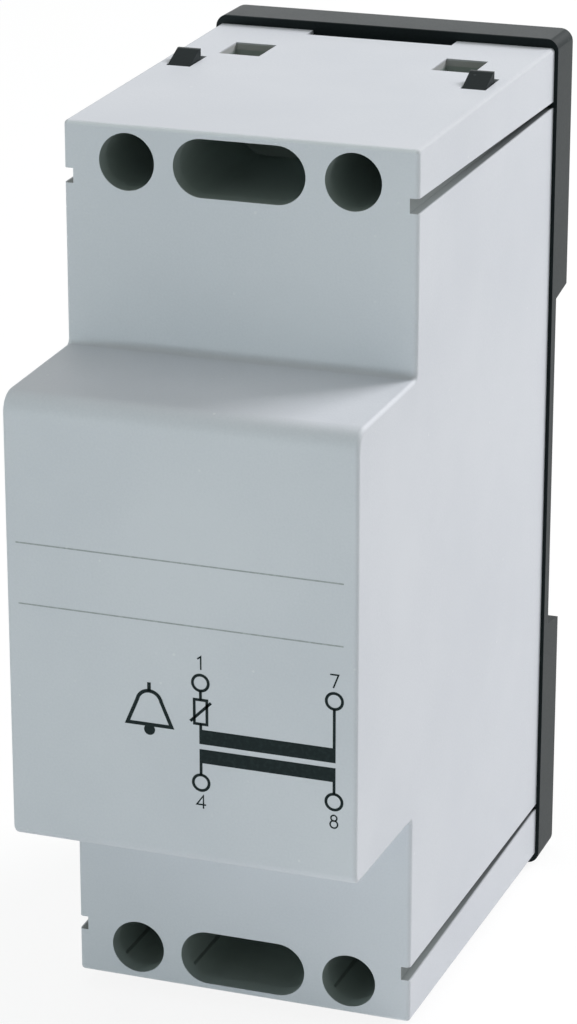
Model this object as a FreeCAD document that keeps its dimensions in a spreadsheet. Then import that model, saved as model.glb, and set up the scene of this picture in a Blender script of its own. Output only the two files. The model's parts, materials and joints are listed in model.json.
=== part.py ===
"""Bell transformer for a 35 mm mounting rail, two modules wide, in millimetres.

The origin is the middle of the rail seat. +X is to the right, +Z is up and the front looks along -Y.
"""

import FreeCAD
import Part
import math
import operator
import os
import Sketcher

# Driving sizes: alias, value, meaning
SIZES = [
    # rear base and rail
    ("base_side_lip", 0.4, "how far the base stands out beside the hood"),
    ("base_end_lip", 0.95, "how far the base stands out above and below the hood"),
    ("flange_thickness", 1.5, "rail seat to the rear edge of the hood"),
    ("pad_depth", 4.3, "how far the pads reach behind the rail seat"),
    ("base_corner", 1.3, "corner radius of the base"),
    ("pad_edge", 0.5, "edge radius of the pads"),
    ("rail_width", 35.0, "width of the mounting rail"),
    ("rail_play", 0.4, "room above and below the rail"),
    ("rail_gap", 1.4, "rail seat to the lips behind the rail rim"),
    ("lip_reach", 1.4, "how far the lips reach behind the rail rim"),
    ("lip_land", 0.8, "thickness of the lips at their edge"),
    ("lip_inset", 5.0, "middle of the base to the fixed lips"),
    ("lip_width", 8.0, "width of one fixed lip"),
    ("recess_flare", 0.7, "how much the recess opens towards the wall"),
    ("plug_height", 1.9, "height of the rim that fits inside the hood"),
    ("fit_gap", 0.1, "gap between the base and the inside of the hood"),
    ("tab_width", 15.2, "width of the tabs in the rear edge of the hood"),
    ("tab_drop", 0.8, "how far those tabs lie below the outside of the hood"),
    ("core_wall", 1.3, "material left around the cored pockets of the pads"),
    ("core_margin", 2.4, "edge of a pad to its cored pockets"),
    # snap arms
    ("arm_side_gap", 0.2, "room between a snap arm and the side wall"),
    ("arm_width", 1.5, "width of a snap arm"),
    ("arm_thickness", 1.5, "thickness of a snap arm"),
    ("hook_start", 17.2, "rail seat to the catching face of a hook"),
    ("hook_length", 3.2, "length of a hook"),
    ("hook_width", 2.35, "width of a hook"),
    ("hook_side", 1.35, "side of the hood to a hook"),
    ("hook_land", 0.3, "flat top of a hook"),
    ("hook_foot", 0.1, "how far the front edge of a hook lies below the outside of the hood"),
    ("hook_proud_top", 1.1, "how far the upper hooks stand out of the hood"),
    ("hook_proud_bottom", 0.0, "how far the lower hooks stand out of the hood"),
    ("hook_gap", 0.1, "room around a hook in its window"),
    ("hook_window", 4.7, "length of the window for a hook"),
    # hood
    ("hood_width", 35.8, "width of the hood at its rear edge"),
    ("hood_height", 88.6, "height of the hood at its rear edge"),
    ("shoulder_reach", 44.0, "rail seat to the shoulder faces"),
    ("nose_reach", 60.0, "rail seat to the nose face"),
    ("nose_height", 44.0, "height of the nose face"),
    ("draft_angle", 0.7, "mould draft in degrees"),
    ("side_wall", 1.6, "side walls of the hood"),
    ("end_wall", 1.4, "top and bottom walls of the hood"),
    ("front_wall", 1.8, "front walls of the hood"),
    ("nose_top_radius", 2.0, "rounding of the upper edge of the nose"),
    ("nose_bottom_radius", 1.0, "rounding of the lower edge of the nose"),
    ("edge_radius", 0.4, "rounding of the other edges of the hood"),
    ("crease_radius", 0.5, "fillet where the nose meets the shoulders"),
    ("groove_inset", 5.75, "end of the hood to the middle of a side groove"),
    ("groove_height", 1.45, "height of a side groove at the shoulder"),
    ("groove_tail", 0.6, "height of a side groove at the rear edge"),
    ("groove_depth", 0.9, "depth of a side groove"),
    ("rib_level", 14.0, "middle to the ribs and cradles that hold the core"),
    ("rib_height", 3.0, "height of the ribs inside the nose"),
    ("rib_depth", 3.1, "how far those ribs stand out of the front wall"),
    # terminals
    ("terminal_side", 6.8, "side of the hood to a terminal screw"),
    ("terminal_inset", 4.0, "end of the hood to a terminal screw"),
    ("driver_hole", 5.5, "diameter of the screwdriver holes"),
    ("slot_web", 1.85, "wall between a slot and the holes beside it"),
    ("slot_height", 5.6, "height of the slots between the holes"),
    ("slot_floor", 1.3, "face of the screw heads to the floor of a slot"),
    ("guide_gap", 0.2, "how much wider the guides are than the hood's holes, in radius"),
    ("shank_play", 0.15, "room around a screw in its seat, in radius"),
    ("wire_space", 5.0, "depth of the space for the wire"),
    ("wire_start", 9.1, "rail seat to the space for the wire"),
    ("wire_width", 4.2, "inner width of a cage"),
    ("window_play", 0.05, "room of a wire window around the wire space"),
    ("cage_side", 0.55, "side walls of a cage"),
    ("cage_rear", 1.2, "rear wall of a cage"),
    ("cage_front", 1.8, "threaded wall of a cage"),
    ("cage_height", 5.0, "height of a cage"),
    ("cage_gap", 0.1, "sliding gap of a cage in its pocket"),
    ("cage_travel", 4.0, "travel of a cage"),
    ("cage_stop", 0.2, "room left in front of a raised cage"),
    ("bar_thickness", 1.2, "thickness of a contact bar"),
    ("bar_width", 3.8, "width of a contact bar"),
    ("bar_gap", 0.05, "gap of a contact bar in its slot"),
    ("bar_tail", 3.4, "how far a contact bar reaches below its block"),
    ("tab_reach", 5.0, "length of the solder tab"),
    ("screw_diameter", 3.5, "thread diameter of the terminal screws"),
    ("screw_gap", 0.05, "gap of the screw in its cage, in radius"),
    ("head_diameter", 5.4, "head diameter of the terminal screws"),
    ("head_height", 2.2, "head height of the terminal screws"),
    ("drive_width", 0.8, "width of the screwdriver slot"),
    ("drive_depth", 1.1, "depth of the screwdriver slot"),
    ("screw_seat", 1.2, "wall that a screw head bears on"),
    ("screw_tip_gap", 0.2, "screw tip to contact bar"),
    # guide blocks
    ("block_gap", 0.2, "room between a guide block and the hood"),
    ("block_height", 8.7, "height of a guide block"),
    ("block_side_gap", 0.3, "room beside a guide block"),
    ("arm_gap", 0.1, "room between a guide block and a snap arm"),
    # core and coil
    ("stack_height", 16.0, "height of the lamination stack"),
    ("leg_width", 8.0, "width of an outer leg, half of the middle leg"),
    ("core_room", 0.6, "room above and below the core in the nose"),
    ("core_seat", 7.0, "rail seat to the core"),
    ("core_hole", 3.5, "corner holes of the laminations"),
    ("cradle_wall", 1.6, "walls of the cradles beside the core"),
    ("cradle_grip", 3.0, "how far the cradles reach along the core"),
    ("cradle_height", 6.0, "height of a cradle"),
    ("coil_gap", 0.1, "gap between bobbin and core"),
    ("bobbin_wall", 1.0, "wall of the bobbin"),
    ("flange_edge", 0.3, "room around the bobbin flanges"),
    ("coil_inset", 1.45, "edge of a flange to the winding"),
    ("coil_corner", 3.0, "corner radius of a winding"),
    ("coil_play", 0.1, "room above and below a winding"),
    ("tape_thickness", 0.25, "thickness of the wrap"),
    # thermistor and leads
    ("disc_diameter", 6.0, "diameter of the thermistor"),
    ("disc_thickness", 3.0, "thickness of the thermistor"),
    ("disc_edge", 0.8, "edge radius of the thermistor"),
    ("leg_diameter", 0.8, "legs of the thermistor"),
    ("lead_diameter", 1.4, "leads over their insulation"),
    ("lead_side", 1.0, "terminal to its lead, across"),
    ("lead_stub", 4.0, "length of the lead under the thermistor"),
    ("lead_shift", 5.0, "how far a lead steps back on its way"),
    ("lead_bend", 4.0, "bend radius of a lead"),
    # rail slide
    ("slide_width", 12.0, "width of the catch over its wings"),
    ("slide_neck", 8.4, "width of the catch between the guides"),
    ("slide_wing", 1.7, "thickness of the wings"),
    ("slide_floor", 0.9, "rail seat to the floor of the channel"),
    ("slide_gap", 0.1, "sliding gap of the catch"),
    ("slide_inset", 0.2, "end of the catch to the end of the base"),
    ("spring_diameter", 3.0, "outer diameter of the spring"),
    ("spring_wire", 0.4, "wire of the spring"),
    ("spring_length", 9.5, "length of the fitted spring"),
    ("spring_turns", 5.0, "turns of the spring"),
    ("spring_play", 0.25, "room beside the spring"),
    ("lug_inset", 8.75, "end of the base to the top of the lug that carries the spring"),
    ("lug_height", 1.5, "height of that lug"),
    ("slide_rest_gap", 0.3, "lug to the lower end of the spring window"),
    ("pry_width", 5.0, "width of the pry slot"),
    ("pry_height", 1.5, "height of the pry slot"),
    ("pry_margin", 1.4, "end of the catch to the pry slot"),
]

SHEET = "Sizes"
CUT_MARGIN = 1.0
WIRE_SIDES = 6
TURN_PIECES = 8
LEAD_SIDES = 8
NEAR = 1e-4
OPERATORS = {"+": operator.add, "-": operator.sub, "*": operator.mul, "/": operator.truediv}

doc = FreeCAD.newDocument("bell_transformer")
sheet = doc.addObject("Spreadsheet::Sheet", SHEET)
for row, (alias, value, meaning) in enumerate(SIZES, start=1):
    sheet.set(f"A{row}", meaning)
    sheet.set(f"B{row}", str(value))
    sheet.setAlias(f"B{row}", alias)
doc.recompute()


class Dim:
    """A size, held as a number and as the expression that gives it from the sheet."""

    def __init__(self, number, text):
        self.number = number
        self.text = text

    def __add__(self, other):
        return combine(self, "+", other)

    def __radd__(self, other):
        return combine(other, "+", self)

    def __sub__(self, other):
        return combine(self, "-", other)

    def __rsub__(self, other):
        return combine(other, "-", self)

    def __mul__(self, other):
        return combine(self, "*", other)

    def __rmul__(self, other):
        return combine(other, "*", self)

    def __truediv__(self, other):
        return combine(self, "/", other)

    def __neg__(self):
        return combine(0, "-", self)

    def __float__(self):
        return float(self.number)


def as_dim(size):
    return size if isinstance(size, Dim) else Dim(float(size), repr(float(size)))


def combine(left, sign, right):
    left = as_dim(left)
    right = as_dim(right)
    number = OPERATORS[sign](left.number, right.number)
    return Dim(number, f"({left.text} {sign} {right.text})")


class Sizes:
    """Gives each cell of the sheet as a Dim."""

    def __getattr__(self, alias):
        return Dim(float(sheet.get(alias)), f"{SHEET}.{alias}")


S = Sizes()

# Places that several pieces share. A reach is a distance in front of the rail seat.
slope = Dim(math.tan(math.radians(float(S.draft_angle))), f"tan({SHEET}.draft_angle)")
floor_reach = S.flange_thickness + S.plug_height
shoulder_depth = S.shoulder_reach - S.flange_thickness
nose_depth = S.nose_reach - S.flange_thickness
nose_root_height = S.nose_height + 2 * slope * nose_depth
half_hood = S.hood_height / 2
half_base = half_hood + S.base_end_lip
half_base_width = S.hood_width / 2 + S.base_side_lip
half_rail = S.rail_width / 2 + S.rail_play
inner_width = S.hood_width - 2 * S.side_wall
inner_height = S.hood_height - 2 * S.end_wall


def hood_top(reach):
    """Height of the hood's outer top at a reach."""
    return half_hood - slope * (reach - S.flange_thickness)


def hood_side(reach):
    """Half width of the hood at a reach."""
    return S.hood_width / 2 - slope * (reach - S.flange_thickness)


# The snap arms
hook_end = S.hook_start + S.hook_length
arm_top = hood_top(hook_end) - S.end_wall - S.block_gap
arm_bottom = arm_top - S.arm_thickness
arm_inset = hood_side(hook_end) - S.side_wall - S.arm_side_gap - S.arm_width
hook_far = hood_side(hook_end) - S.hook_side
hook_near = hook_far - S.hook_width

# The terminals and the holes in front of them
terminal_offset = S.hood_width / 2 - S.terminal_side
terminal_level = half_hood - S.terminal_inset
slot_length = 2 * (terminal_offset - S.driver_hole / 2 - S.slot_web)

# The clamp, from the rail seat forwards
wire_end = S.wire_start + S.wire_space
bar_front = wire_end + S.bar_thickness
cage_back = S.wire_start - S.cage_rear
cage_inner_front = bar_front + S.screw_tip_gap
cage_face = cage_inner_front + S.cage_front
pocket_front = cage_face + S.cage_travel + S.cage_stop
head_seat = pocket_front + S.screw_seat
head_face = head_seat + S.head_height
half_cage = S.wire_width / 2 + S.cage_side

# The guide blocks and contact bars
block_front = S.shoulder_reach - S.front_wall
block_top = hood_top(block_front) - S.end_wall - S.block_gap
block_bottom = block_top - S.block_height
cage_top = block_top - S.block_gap
cage_bottom = cage_top - S.cage_height
bar_top = cage_top - S.block_gap
tab_level = block_bottom - S.bar_tail
tab_middle = bar_front + S.tab_reach / 2

# The core and coil
core_end = S.nose_reach - S.front_wall - S.fit_gap - S.rib_depth
core_middle = (S.core_seat + core_end) / 2
half_window = S.nose_height / 2 - S.end_wall - S.core_room - S.leg_width
half_stack = S.stack_height / 2
bobbin_half = half_window - S.coil_gap
tube_half_x = half_stack + S.coil_gap + S.bobbin_wall
tube_half_y = S.leg_width + S.coil_gap + S.bobbin_wall
flange_half_y = core_middle - S.core_seat - S.leg_width - S.flange_edge
flange_half_x = hood_side(core_middle + flange_half_y) - S.side_wall - S.flange_edge
flange_step = bobbin_half - S.bobbin_wall / 2
chamber_height = flange_step - S.bobbin_wall

# The thermistor hangs between the solder tab of terminal 1 and the stub of its lead
lead_offset = terminal_offset + S.lead_side
lead_one_top = bobbin_half + S.lead_stub
disc_level = (tab_level + lead_one_top) / 2

# The rail slide
slide_front = S.slide_floor + S.slide_gap
wing_back = slide_front + S.slide_wing
slide_back = S.pad_depth - 2 * S.slide_gap
slide_bottom = -half_base + S.slide_inset
lug_level = half_base - S.lug_inset
slide_shoulder = -half_rail - S.recess_flare
lip_edge = S.rail_width / 2 - S.lip_reach
lip_crest = S.rail_gap + S.lip_land
spring_middle = slide_front + S.spring_diameter / 2
half_spring = S.spring_diameter / 2

pieces = []


def bind(thing, path, size):
    """Ties a property to the sheet."""
    thing.setExpression(path, as_dim(size).text)


def new_body(label, x=0, z=0, turned=False):
    """Starts a piece. A turned one stands upside down, half a turn about Y."""
    body = doc.addObject("PartDesign::Body", label)
    body.Label = label
    if turned:
        half_turn = FreeCAD.Rotation(FreeCAD.Vector(0, 1, 0), 180)
        body.Placement = FreeCAD.Placement(FreeCAD.Vector(), half_turn)
    bind(body, "Placement.Base.x", x)
    bind(body, "Placement.Base.z", z)
    pieces.append(body)
    return body


def sketch_on(body, plane, offset):
    """A sketch on one of the piece's own planes, moved along the plane's normal."""
    sketch = body.newObject("Sketcher::SketchObject", f"{body.Name}_sketch")
    support = next(item for item in body.Origin.OriginFeatures if item.Role == plane)
    sketch.AttachmentSupport = [(support, "")]
    sketch.MapMode = "FlatFace"
    bind(sketch, "AttachmentOffset.Base.z", offset)
    return sketch


def front_sketch(body, reach):
    """A sketch of X and Z at a reach. Its normal points to the front."""
    return sketch_on(body, "XZ_Plane", reach)


def level_sketch(body, level):
    """A sketch of X and Y at a height. Its normal points up."""
    return sketch_on(body, "XY_Plane", level)


def side_sketch(body, x=0):
    """A sketch of Y and Z at a distance across. Its normal points to the right."""
    return sketch_on(body, "YZ_Plane", x)


def fix_point(sketch, curve, point, u, v):
    """Ties a point of a curve to the sketch's origin."""
    for kind, size, axis in (("DistanceX", u, -2), ("DistanceY", v, -1)):
        if not isinstance(size, Dim) and size == 0:
            sketch.addConstraint(Sketcher.Constraint("PointOnObject", curve, point, axis))
            continue
        index = sketch.addConstraint(Sketcher.Constraint(kind, -1, 1, curve, point, float(size)))
        bind(sketch, f"Constraints[{index}]", size)


def fix_radius(sketch, curve, radius):
    index = sketch.addConstraint(Sketcher.Constraint("Radius", curve, float(radius)))
    bind(sketch, f"Constraints[{index}]", radius)


def flat_point(u, v):
    return FreeCAD.Vector(float(u), float(v), 0)


def polygon(sketch, points):
    first = sketch.GeometryCount
    corners = [flat_point(u, v) for u, v in points]
    count = len(corners)
    for i in range(count):
        sketch.addGeometry(Part.LineSegment(corners[i], corners[(i + 1) % count]), False)
    for i in range(count):
        following = first + (i + 1) % count
        sketch.addConstraint(Sketcher.Constraint("Coincident", first + i, 2, following, 1))
    for i, (u, v) in enumerate(points):
        fix_point(sketch, first + i, 1, u, v)


def rectangle(sketch, u0, u1, v0, v1):
    polygon(sketch, [(u0, v0), (u1, v0), (u1, v1), (u0, v1)])


def centred_rectangle(sketch, half_u, half_v):
    rectangle(sketch, -half_u, half_u, -half_v, half_v)


def circle(sketch, u, v, radius):
    outline = Part.Circle(flat_point(u, v), FreeCAD.Vector(0, 0, 1), float(radius))
    curve = sketch.addGeometry(outline, False)
    fix_point(sketch, curve, 3, u, v)
    fix_radius(sketch, curve, radius)


def even_polygon(sketch, u, v, radius, count):
    """A polygon with equal sides."""
    turns = [2 * math.pi * i / count for i in range(count)]
    polygon(sketch, [(u + radius * math.cos(turn), v + radius * math.sin(turn)) for turn in turns])


def obround(sketch, v, length, height):
    """A slot with round ends, its middle on the sketch's V axis."""
    radius = height / 2
    reach = length / 2 - radius
    top = v + radius
    bottom = v - radius
    right_end = Part.Arc(flat_point(reach, bottom), flat_point(length / 2, v), flat_point(reach, top))
    left_end = Part.Arc(flat_point(-reach, top), flat_point(-length / 2, v), flat_point(-reach, bottom))
    first = sketch.GeometryCount
    sketch.addGeometry(right_end, False)
    sketch.addGeometry(Part.LineSegment(flat_point(reach, top), flat_point(-reach, top)), False)
    sketch.addGeometry(left_end, False)
    sketch.addGeometry(Part.LineSegment(flat_point(-reach, bottom), flat_point(reach, bottom)), False)
    for i in range(4):
        following = first + (i + 1) % 4
        sketch.addConstraint(Sketcher.Constraint("Tangent", first + i, 2, following, 1))
    fix_point(sketch, first, 3, reach, v)
    fix_point(sketch, first + 2, 3, -reach, v)
    fix_radius(sketch, first, radius)


def rounded_rectangle(sketch, half_u, v, half_v, radius):
    """A rectangle with round corners, its middle on the sketch's V axis."""
    first = sketch.GeometryCount
    reach_u = half_u - radius
    reach_v = half_v - radius
    diagonal = radius * math.sqrt(0.5)
    for up, out in ((-1, 1), (1, 1), (1, -1), (-1, -1)):
        centre_u = out * reach_u
        centre_v = v + up * reach_v
        below = flat_point(centre_u, centre_v + up * radius)
        beside = flat_point(centre_u + out * radius, centre_v)
        between = flat_point(centre_u + out * diagonal, centre_v + up * diagonal)
        ends = (below, beside) if up * out < 0 else (beside, below)
        arc = sketch.addGeometry(Part.Arc(ends[0], between, ends[1]), False)
        fix_point(sketch, arc, 3, centre_u, centre_v)
        fix_radius(sketch, arc, radius)
    for i in range(4):
        arc = first + i
        following = first + (i + 1) % 4
        side = Part.LineSegment(sketch.getPoint(arc, 2), sketch.getPoint(following, 1))
        line = sketch.addGeometry(side, False)
        sketch.addConstraint(Sketcher.Constraint("Tangent", arc, 2, line, 1))
        sketch.addConstraint(Sketcher.Constraint("Tangent", line, 2, following, 1))


def extrude(kind, body, sketch, length, back, both, taper):
    feature = body.newObject(f"PartDesign::{kind}", f"{body.Name}_{kind.lower()}")
    feature.Profile = sketch
    feature.Reversed = back
    if both:
        feature.SideType = "Symmetric"
    bind(feature, "Length", length)
    bind(feature, "TaperAngle", taper)
    doc.recompute()
    return feature


def pad(body, sketch, length, back=False, both=False, taper=0):
    """Adds material along the sketch's normal, or back against it."""
    return extrude("Pad", body, sketch, length, back, both, taper)


def pocket(body, sketch, length, back=False, taper=0):
    """Cuts against the sketch's normal, or back along it."""
    before = body.Shape.Volume
    feature = extrude("Pocket", body, sketch, length, back, False, taper)
    if not body.Shape.Volume < before:
        raise RuntimeError(f"{feature.Name} cuts nothing")
    return feature


def cut_between(body, first, second):
    """Cuts the form that runs straight from one sketch to the other."""
    before = body.Shape.Volume
    feature = body.newObject("PartDesign::SubtractiveLoft", f"{body.Name}_taper")
    feature.Profile = first
    feature.Sections = [second]
    feature.Ruled = True
    doc.recompute()
    if not body.Shape.Volume < before:
        raise RuntimeError(f"{feature.Name} cuts nothing")
    return feature


def revolve(body, sketch):
    """Turns a profile about the sketch's V axis."""
    feature = body.newObject("PartDesign::Revolution", f"{body.Name}_turn")
    feature.Profile = sketch
    feature.ReferenceAxis = (sketch, ["V_Axis"])
    feature.Angle = 360
    doc.recompute()
    return feature


def lies_at(edge, **places):
    """True where an edge lies at the given x, y or z."""
    for axis, place in places.items():
        low = getattr(edge.BoundBox, f"{axis.upper()}Min")
        high = getattr(edge.BoundBox, f"{axis.upper()}Max")
        if max(abs(low - float(place)), abs(high - float(place))) > NEAR:
            return False
    return True


def round_edges(body, radius, chosen):
    """Rounds the edges that a test picks."""
    base = body.Tip
    names = [f"Edge{i}" for i, edge in enumerate(base.Shape.Edges, start=1) if chosen(edge)]
    if not names:
        raise RuntimeError(f"{body.Label} has no edge to round")
    feature = body.newObject("PartDesign::Fillet", f"{body.Name}_fillet")
    feature.Base = (base, names)
    bind(feature, "Radius", radius)
    doc.recompute()


# The hood
def hood_shape(body):
    """The stepped block with its draft and roundings."""
    for height, depth in ((S.hood_height, shoulder_depth), (nose_root_height, nose_depth)):
        outline = front_sketch(body, S.flange_thickness)
        centred_rectangle(outline, S.hood_width / 2, height / 2)
        pad(body, outline, depth, taper=-S.draft_angle)
    nose_edge = S.nose_height / 2
    crease = nose_root_height / 2 - slope * shoulder_depth
    shoulder_edge = hood_top(S.shoulder_reach)
    cross_edges = [
        (S.nose_top_radius, S.nose_reach, nose_edge),
        (S.nose_bottom_radius, S.nose_reach, -nose_edge),
        (S.crease_radius, S.shoulder_reach, crease),
        (S.crease_radius, S.shoulder_reach, -crease),
        (S.edge_radius, S.shoulder_reach, shoulder_edge),
        (S.edge_radius, S.shoulder_reach, -shoulder_edge),
    ]
    for radius, reach, level in cross_edges:
        round_edges(body, radius, lambda edge: lies_at(edge, y=-reach, z=level))
    round_edges(body, S.edge_radius, on_hood_side)


def on_hood_side(edge):
    """True for the outline of the hood's side faces, apart from the rear edge."""
    if lies_at(edge, y=-S.flange_thickness):
        return False
    for place in (edge.FirstParameter, (edge.FirstParameter + edge.LastParameter) / 2, edge.LastParameter):
        point = edge.valueAt(place)
        if abs(abs(point.x) - float(hood_side(-point.y))) > NEAR:
            return False
    return True


def hood_cavity(body):
    for height, depth in ((S.hood_height, shoulder_depth), (nose_root_height, nose_depth)):
        outline = front_sketch(body, S.flange_thickness)
        centred_rectangle(outline, inner_width / 2, height / 2 - S.end_wall)
        pocket(body, outline, depth - S.front_wall, back=True, taper=-S.draft_angle)
    ribs = front_sketch(body, S.nose_reach - S.front_wall)
    for end in (1, -1):
        middle = end * S.rib_level
        rectangle(ribs, -half_stack, half_stack, middle - S.rib_height / 2, middle + S.rib_height / 2)
    pad(body, ribs, S.rib_depth, back=True)


def hood_openings(body, end):
    """Holes, slot, windows, rear notch and side grooves of the upper (1) or lower (-1) end."""
    for reach, play, depth in (
        (S.shoulder_reach, 0, S.front_wall),
        (block_front, S.guide_gap, block_front - head_seat + S.fit_gap),
    ):
        holes = front_sketch(body, reach)
        for side in (-1, 1):
            circle(holes, side * terminal_offset, end * terminal_level, S.driver_hole / 2 + play)
        obround(holes, end * terminal_level, slot_length + 2 * play, S.slot_height + 2 * play)
        pocket(body, holes, depth)

    wall = level_sketch(body, end * (half_hood + CUT_MARGIN))
    half_window_x = S.wire_width / 2 + S.window_play
    for side in (-1, 1):
        rectangle(
            wall,
            side * (terminal_offset - half_window_x),
            side * (terminal_offset + half_window_x),
            -wire_end - S.window_play,
            -S.wire_start + S.window_play,
        )
        rectangle(
            wall,
            side * (hook_near - S.hook_gap),
            side * (hook_far + S.hook_gap),
            -hook_end - S.hook_gap,
            -hook_end - S.hook_gap + S.hook_window,
        )
    half_tab = S.tab_width / 2 + S.fit_gap
    rectangle(wall, -half_tab, half_tab, -floor_reach - S.fit_gap, CUT_MARGIN)
    pocket(body, wall, S.end_wall + 2 * CUT_MARGIN, back=end < 0)

    groove_level = end * (half_hood - S.groove_inset)
    front = S.shoulder_reach + CUT_MARGIN
    rear = S.flange_thickness - CUT_MARGIN
    outside = S.hood_width / 2 + CUT_MARGIN
    for side in (-1, 1):
        sections = []
        for reach, height in ((front, S.groove_height), (rear, S.groove_tail)):
            section = front_sketch(body, reach)
            floor = side * (hood_side(reach) - S.groove_depth)
            low = groove_level - height / 2
            rectangle(section, floor, side * outside, low, low + height)
            sections.append(section)
        cut_between(body, *sections)


def make_hood():
    body = new_body("housing_hood")
    hood_shape(body)
    hood_cavity(body)
    for end in (1, -1):
        hood_openings(body, end)


# The rear base
def base_slab(body):
    """The flange and pads from their side profile, with the rim and tabs that fit the hood."""
    profile = side_sketch(body)
    polygon(
        profile,
        [
            (-S.flange_thickness, -half_base),
            (S.pad_depth, -half_base),
            (S.pad_depth, -half_rail - S.recess_flare),
            (0, -half_rail),
            (0, half_rail),
            (S.pad_depth, half_rail + S.recess_flare),
            (S.pad_depth, half_base),
            (-S.flange_thickness, half_base),
        ],
    )
    pad(body, profile, 2 * half_base_width, both=True)
    corners = [(x, z) for x in (-half_base_width, half_base_width) for z in (-half_base, half_base)]
    round_edges(body, S.base_corner, lambda edge: any(lies_at(edge, x=x, z=z) for x, z in corners))
    round_edges(body, S.pad_edge, lambda edge: lies_at(edge, y=S.pad_depth))

    rim = front_sketch(body, S.flange_thickness)
    rim_half = inner_height / 2 - S.fit_gap
    centred_rectangle(rim, inner_width / 2 - S.fit_gap, rim_half)
    pad(body, rim, S.plug_height, taper=-S.draft_angle)
    for end in (1, -1):
        tab = front_sketch(body, S.flange_thickness)
        inside = end * (rim_half - S.end_wall)
        outside = end * (hood_top(floor_reach) - S.tab_drop)
        rectangle(tab, -S.tab_width / 2, S.tab_width / 2, inside, outside)
        pad(body, tab, S.plug_height)


def base_cradle(body, end):
    """A fork that carries the rear of the core."""
    fork = level_sketch(body, end * S.rib_level - S.cradle_height / 2)
    inside = half_stack + S.coil_gap
    outside = inside + S.cradle_wall
    tip = S.core_seat + S.cradle_grip
    polygon(
        fork,
        [
            (-outside, -S.flange_thickness),
            (outside, -S.flange_thickness),
            (outside, -tip),
            (inside, -tip),
            (inside, -S.core_seat),
            (-inside, -S.core_seat),
            (-inside, -tip),
            (-outside, -tip),
        ],
    )
    pad(body, fork, S.cradle_height)


def base_arm(body, side, end, proud):
    """A snap arm along the end wall, with its hook in the hood's window."""
    arm = side_sketch(body, arm_inset if side > 0 else -arm_inset - S.arm_width)
    rectangle(arm, -hook_end, -S.flange_thickness, end * arm_bottom, end * arm_top)
    pad(body, arm, S.arm_width)
    hook = side_sketch(body, hook_near if side > 0 else -hook_far)
    crest = hood_top(S.hook_start) + proud
    polygon(
        hook,
        [
            (-S.hook_start, end * arm_top),
            (-S.hook_start, end * crest),
            (-S.hook_start - S.hook_land, end * crest),
            (-hook_end, end * (hood_top(hook_end) - S.hook_foot)),
            (-hook_end, end * arm_top),
        ],
    )
    pad(body, hook, S.hook_width)


def base_rail_lip(body, side):
    """A fixed lip that goes behind the upper rim of the rail."""
    near = S.lip_inset if side > 0 else -S.lip_inset - S.lip_width
    lip = side_sketch(body, near)
    root = half_rail + S.recess_flare
    polygon(
        lip,
        [
            (S.rail_gap, root),
            (S.rail_gap, lip_edge),
            (lip_crest, lip_edge),
            (S.pad_depth - S.pad_edge, root),
        ],
    )
    pad(body, lip, S.lip_width)


def base_channel(body):
    """The guide of the rail slide, with the lug that its spring stands on."""
    channel = level_sketch(body, -half_base - CUT_MARGIN)
    wing = S.slide_width / 2 + 2 * S.slide_gap
    neck = S.slide_neck / 2 + 2 * S.slide_gap
    step = wing_back + 2 * S.slide_gap
    behind = S.pad_depth + CUT_MARGIN
    polygon(
        channel,
        [
            (-wing, S.slide_floor),
            (wing, S.slide_floor),
            (wing, step),
            (neck, step),
            (neck, behind),
            (-neck, behind),
            (-neck, step),
            (-wing, step),
        ],
    )
    pocket(body, channel, half_base + CUT_MARGIN - half_rail, back=True)
    lug = front_sketch(body, -S.slide_floor)
    rectangle(lug, -half_spring, half_spring, -lug_level - S.lug_height, -lug_level)
    pad(body, lug, slide_back - S.slide_floor, back=True)


def base_coring(body):
    """Shallow pockets that keep the pads at an even wall."""
    pockets = front_sketch(body, -S.pad_depth)
    far = half_base_width - S.core_margin
    low = half_rail + S.recess_flare + S.core_margin
    high = half_base - S.core_margin
    beside_slide = S.slide_width / 2 + 2 * S.slide_gap + S.core_wall
    for side in (-1, 1):
        rectangle(pockets, side * S.core_wall, side * far, low, high)
        rectangle(pockets, side * beside_slide, side * far, -high, -low)
    pocket(body, pockets, S.pad_depth - S.core_wall, back=True)


def make_base():
    body = new_body("rear_base")
    base_slab(body)
    for end, proud in ((1, S.hook_proud_top), (-1, S.hook_proud_bottom)):
        base_cradle(body, end)
        for side in (-1, 1):
            base_arm(body, side, end, proud)
    for side in (-1, 1):
        base_rail_lip(body, side)
    base_channel(body)
    base_coring(body)


# The rail slide and its spring
def make_slide():
    body = new_body("rail_slide")
    profile = side_sketch(body)
    polygon(
        profile,
        [
            (slide_front, slide_bottom),
            (slide_back, slide_bottom),
            (slide_back, slide_shoulder),
            (lip_crest, -lip_edge),
            (S.rail_gap, -lip_edge),
            (S.rail_gap, slide_shoulder),
            (slide_front, slide_shoulder),
        ],
    )
    pad(body, profile, S.slide_neck, both=True)
    wings = front_sketch(body, -slide_front)
    rectangle(wings, -S.slide_width / 2, S.slide_width / 2, slide_bottom, slide_shoulder)
    pad(body, wings, S.slide_wing, back=True)
    window = front_sketch(body, -slide_back - CUT_MARGIN)
    half_window_x = half_spring + S.spring_play
    low = -lug_level - S.lug_height - S.slide_rest_gap
    rectangle(window, -half_window_x, half_window_x, low, -lug_level + S.spring_length)
    pocket(body, window, S.pad_depth + CUT_MARGIN, back=True)
    pry = front_sketch(body, -slide_back)
    low = slide_bottom + S.pry_margin
    rectangle(pry, -S.pry_width / 2, S.pry_width / 2, low, low + S.pry_height)
    pocket(body, pry, slide_back - wing_back, back=True)


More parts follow.
